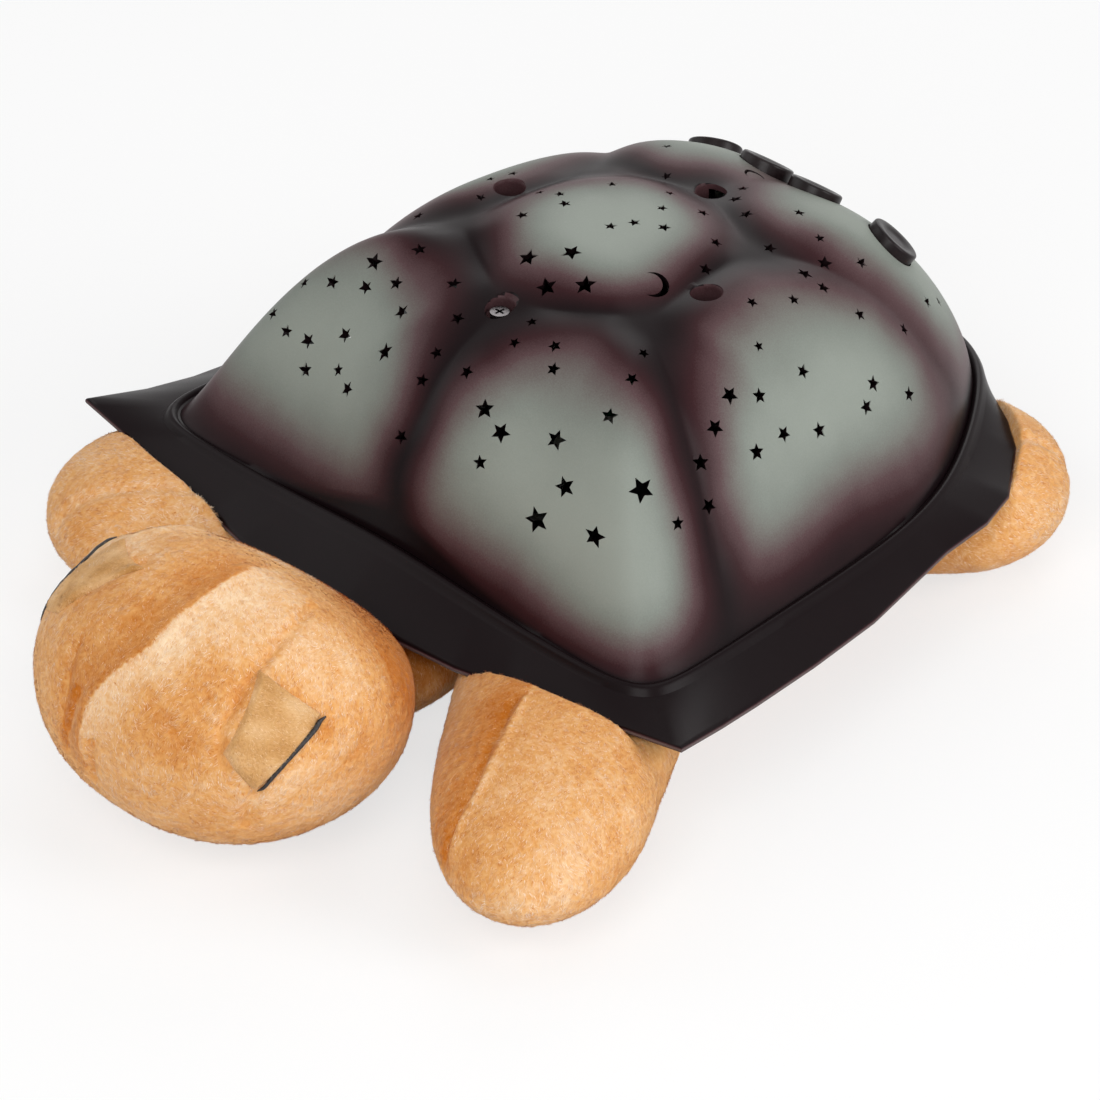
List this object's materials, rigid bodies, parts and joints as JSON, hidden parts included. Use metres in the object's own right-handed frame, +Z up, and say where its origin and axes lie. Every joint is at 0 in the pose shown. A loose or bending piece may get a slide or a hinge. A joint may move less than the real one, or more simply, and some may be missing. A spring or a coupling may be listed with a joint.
{
  "type": "star night light projector",
  "caption": "Plush turtle night light: a hard domed shell pierced with star and moon holes over a lamp tray with a battery box, push buttons at the rear, set in a soft stuffed body.",
  "frame": {"origin": "middle of the flat belly, where the lamp stands", "axes": "+Z up, the turtle looks along -Y, its left side is +X"},
  "size_m": [0.264, 0.3469, 0.12],
  "materials": {
    "shell_plastic": "satin, shaded from grey-green middles to dark plum seams",
    "tray_plastic": "matte moulded",
    "white_plastic": "matte moulded",
    "button_plastic": "satin moulded",
    "steel": "bright zinc",
    "circuit_board": "solder mask",
    "component_black": "moulded epoxy",
    "led_amber": "clear epoxy",
    "led_green": "clear epoxy",
    "led_blue": "clear epoxy",
    "cell_sleeve": "plain sleeve",
    "lead_sleeve": "plain",
    "plush": "short pile velour",
    "patch_cloth": "flat cloth",
    "thread": "satin stitch",
    "hook_tape": "hook and loop"
  },
  "bodies": {
    "turtle": {"shell": "shell_plastic", "lamp_tray": "tray_plastic", "shell_screws": "steel", "lamp_holder": "white_plastic", "lamp_board": "circuit_board", "led_amber": "led_amber", "led_green": "led_green", "led_blue": "led_blue", "main_board": "circuit_board", "main_board_parts": "component_black", "board_screws": "steel", "bracket_middle": "white_plastic", "bracket_left": "white_plastic", "bracket_right": "white_plastic", "bracket_screws": "steel", "switch_board_middle": "circuit_board", "switch_board_left": "circuit_board", "switch_board_right": "circuit_board", "tact_switches": "component_black", "battery_1": "cell_sleeve", "battery_2": "cell_sleeve", "battery_3": "cell_sleeve", "contact_springs": "steel", "contact_plates": "steel", "battery_leads": "lead_sleeve", "lamp_leads": "lead_sleeve", "switch_leads": "lead_sleeve", "plush_body": "plush", "head": "plush", "leg_front_left": "plush", "leg_front_right": "plush", "leg_rear_left": "plush", "leg_rear_right": "plush", "tail": "plush", "eye_patch_left": "patch_cloth", "eye_patch_right": "patch_cloth", "eyelid_left": "thread", "eyelid_right": "thread"},
    "timer_button": {"button_timer": "button_plastic"},
    "amber_button": {"button_amber": "button_plastic"},
    "green_button": {"button_green": "button_plastic"},
    "blue_button": {"button_blue": "button_plastic"},
    "door": {"battery_door": "tray_plastic"},
    "screw_of_door": {"door_screw": "steel"},
    "flap": {"belly_flap": "plush", "flap_strips": "hook_tape"}
  },
  "joints": [
    {"name": "timer_press", "type": "slide", "parent": "turtle", "child": "timer_button", "axis": [0.3528, -0.5991, -0.7187], "range_m": [0, 0.0012], "stiffness_N_per_m": 400, "springref_m": -0.0005},
    {"name": "amber_press", "type": "slide", "parent": "turtle", "child": "amber_button", "axis": [0, -0.5826, -0.8128], "range_m": [0, 0.0012], "stiffness_N_per_m": 400, "springref_m": -0.0005},
    {"name": "green_press", "type": "slide", "parent": "turtle", "child": "green_button", "axis": [0, -0.5826, -0.8128], "range_m": [0, 0.0012], "stiffness_N_per_m": 400, "springref_m": -0.0005},
    {"name": "blue_press", "type": "slide", "parent": "turtle", "child": "blue_button", "axis": [-0.3528, -0.5991, -0.7187], "range_m": [0, 0.0012], "stiffness_N_per_m": 400, "springref_m": -0.0005},
    {"name": "door_lift_off", "type": "slide", "parent": "turtle", "child": "door", "axis": [0, 0, -1], "range_m": [0, 0.01]},
    {"name": "door_screw_turn", "type": "hinge", "parent": "door", "child": "screw_of_door", "pos_m": [0, -0.03105, 0.0206], "axis": [0, 0, -1], "continuous": true},
    {"name": "flap_hinge", "type": "hinge", "parent": "turtle", "child": "flap", "pos_m": [0, 0.0492, 0], "axis": [1, 0, 0], "range_deg": [0, 100]}
  ]
}
